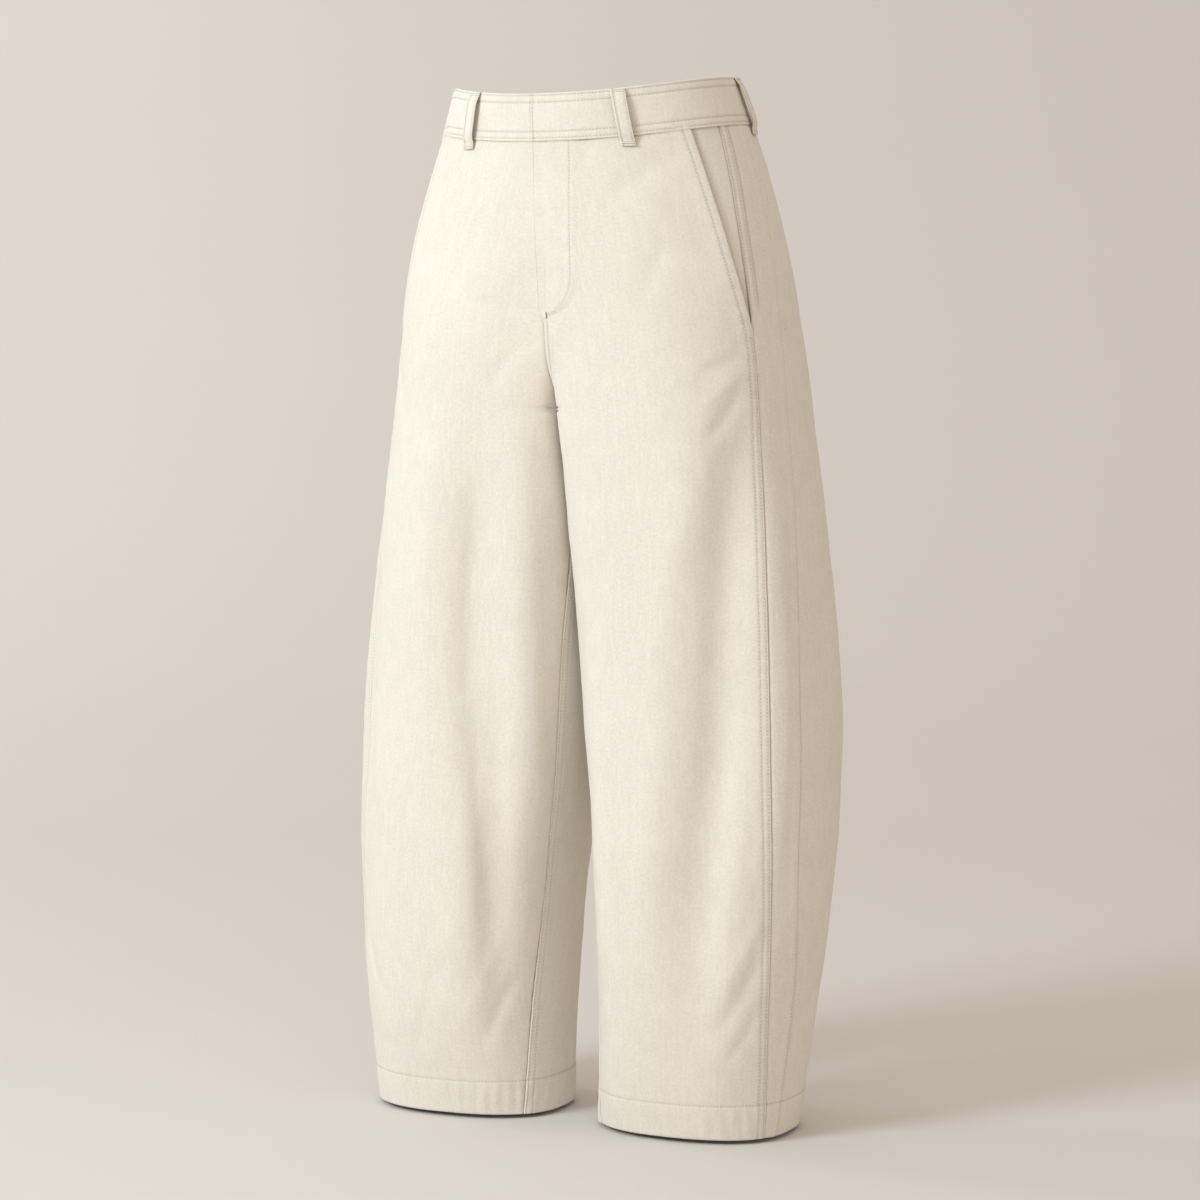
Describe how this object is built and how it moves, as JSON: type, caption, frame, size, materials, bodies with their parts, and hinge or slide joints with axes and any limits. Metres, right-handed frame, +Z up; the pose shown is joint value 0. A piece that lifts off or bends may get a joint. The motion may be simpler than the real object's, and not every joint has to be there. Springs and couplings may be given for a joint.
{
  "type": "barrel leg trousers",
  "caption": "High-waisted trousers with wide barrel legs, a fly front, slanted side pockets, a waistband with belt loops and stitched hems, filled out as if worn.",
  "frame": {"origin": "middle of the waist opening, level with the seam under the waistband", "axes": "+Z up to the waist, +X towards the wearer's left, -Y towards the wearer's front"},
  "size_m": [0.4926, 0.2588, 0.9901],
  "materials": {
    "twill": "matt brushed cotton twill, ecru",
    "twill_trim": "matt cotton twill in double layers, ecru, edge-stitched",
    "twill_facing": "matt cotton twill behind the pocket openings, ecru"
  },
  "bodies": {
    "root": {"front_left": "twill", "front_right": "twill", "side_left": "twill", "side_right": "twill", "back_left": "twill", "back_right": "twill", "pocket_facing_left": "twill_facing", "pocket_facing_right": "twill_facing", "fly": "twill_trim", "waistband_left": "twill_trim", "waistband_right": "twill_trim", "belt_loop_front_left": "twill_trim", "belt_loop_front_right": "twill_trim", "belt_loop_side_left": "twill_trim", "belt_loop_side_right": "twill_trim", "belt_loop_back": "twill_trim"}
  },
  "joints": []
}
